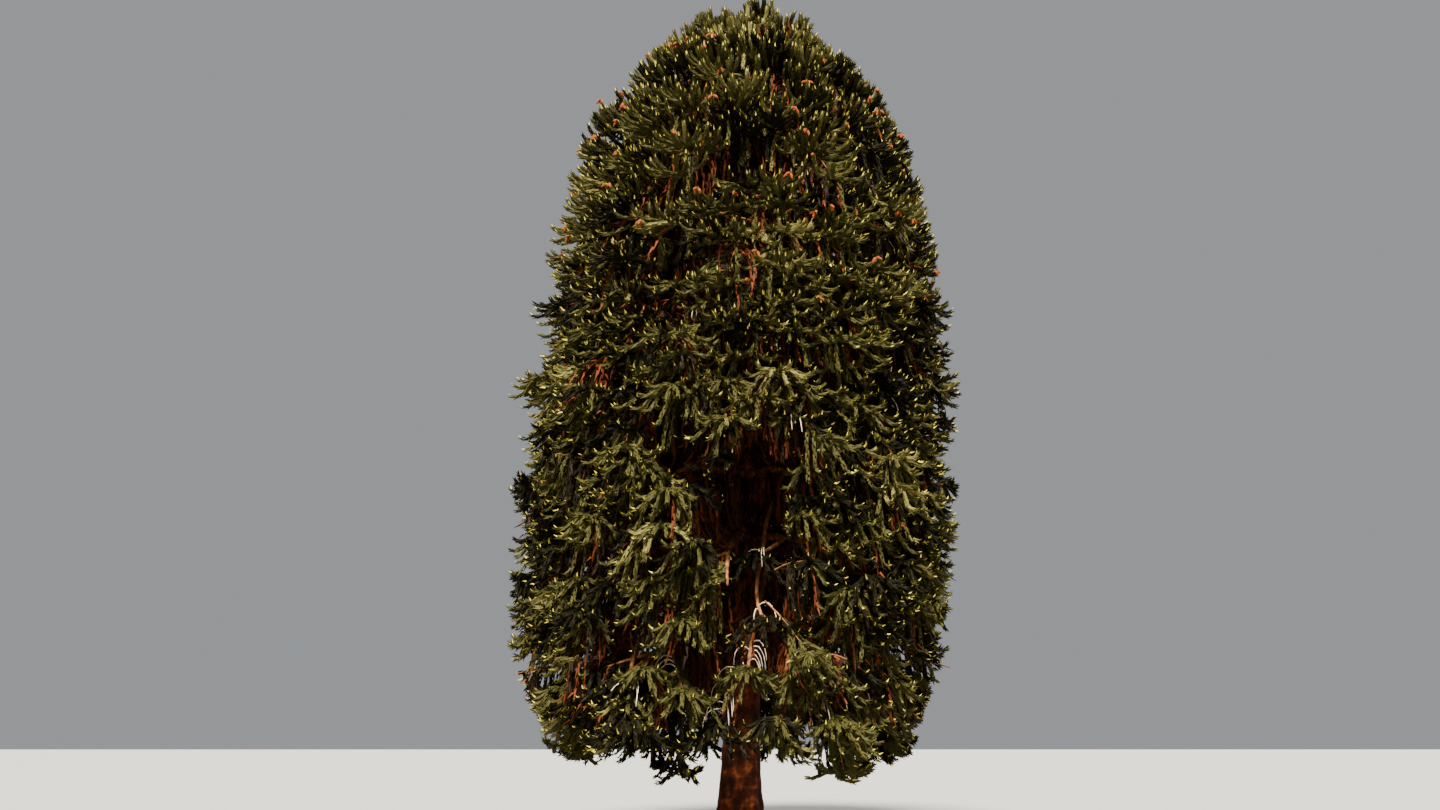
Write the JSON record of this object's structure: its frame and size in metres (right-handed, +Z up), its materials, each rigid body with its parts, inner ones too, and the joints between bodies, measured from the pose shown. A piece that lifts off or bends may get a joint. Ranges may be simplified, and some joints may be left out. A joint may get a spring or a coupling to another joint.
{
  "type": "monkey puzzle tree",
  "caption": "Mature monkey puzzle tree with a tall domed crown of rope-like shoots that hangs almost to the ground round a straight leaning trunk.",
  "frame": {"origin": "centre of the flat cut under the trunk, at ground level", "axes": "+Z up along the trunk, -Y towards the side that is usually looked at, +X the way the top leans"},
  "size_m": [7.6407, 7.5684, 14.9488],
  "materials": {
    "bark": "rough ridged bark, dark red-brown",
    "limb_bark": "rough scaly bark, orange-brown",
    "foliage": "hard leathery leaves, dark olive green"
  },
  "bodies": {
    "root": {"trunk": "bark", "skirt_bough_1": "limb_bark", "skirt_bough_2": "limb_bark", "skirt_bough_3": "limb_bark", "skirt_bough_4": "limb_bark", "skirt_bough_5": "limb_bark", "skirt_bough_6": "limb_bark", "low_bough_1": "limb_bark", "low_bough_2": "limb_bark", "low_bough_3": "limb_bark", "low_bough_4": "limb_bark", "low_bough_5": "limb_bark", "low_bough_6": "limb_bark", "skirt_mass_1": "foliage", "skirt_mass_2": "foliage", "skirt_mass_3": "foliage", "skirt_mass_4": "foliage", "skirt_mass_5": "foliage", "skirt_mass_6": "foliage", "low_mass_1": "foliage", "low_mass_2": "foliage", "low_mass_3": "foliage", "low_mass_4": "foliage", "low_mass_5": "foliage", "low_mass_6": "foliage", "lower_middle_mass_1": "foliage", "lower_middle_mass_2": "foliage", "lower_middle_mass_3": "foliage", "lower_middle_mass_4": "foliage", "lower_middle_mass_5": "foliage", "lower_middle_mass_6": "foliage", "lower_middle_mass_7": "foliage", "middle_mass_1": "foliage", "middle_mass_2": "foliage", "middle_mass_3": "foliage", "middle_mass_4": "foliage", "middle_mass_5": "foliage", "middle_mass_6": "foliage", "middle_mass_7": "foliage", "upper_middle_mass_1": "foliage", "upper_middle_mass_2": "foliage", "upper_middle_mass_3": "foliage", "upper_middle_mass_4": "foliage", "upper_middle_mass_5": "foliage", "upper_middle_mass_6": "foliage", "high_mass_1": "foliage", "high_mass_2": "foliage", "high_mass_3": "foliage", "high_mass_4": "foliage", "high_mass_5": "foliage", "shoulder_mass_1": "foliage", "shoulder_mass_2": "foliage", "shoulder_mass_3": "foliage", "shoulder_mass_4": "foliage", "shoulder_mass_5": "foliage", "dome_mass_1": "foliage", "dome_mass_2": "foliage", "dome_mass_3": "foliage", "top_mass": "foliage"}
  },
  "joints": []
}
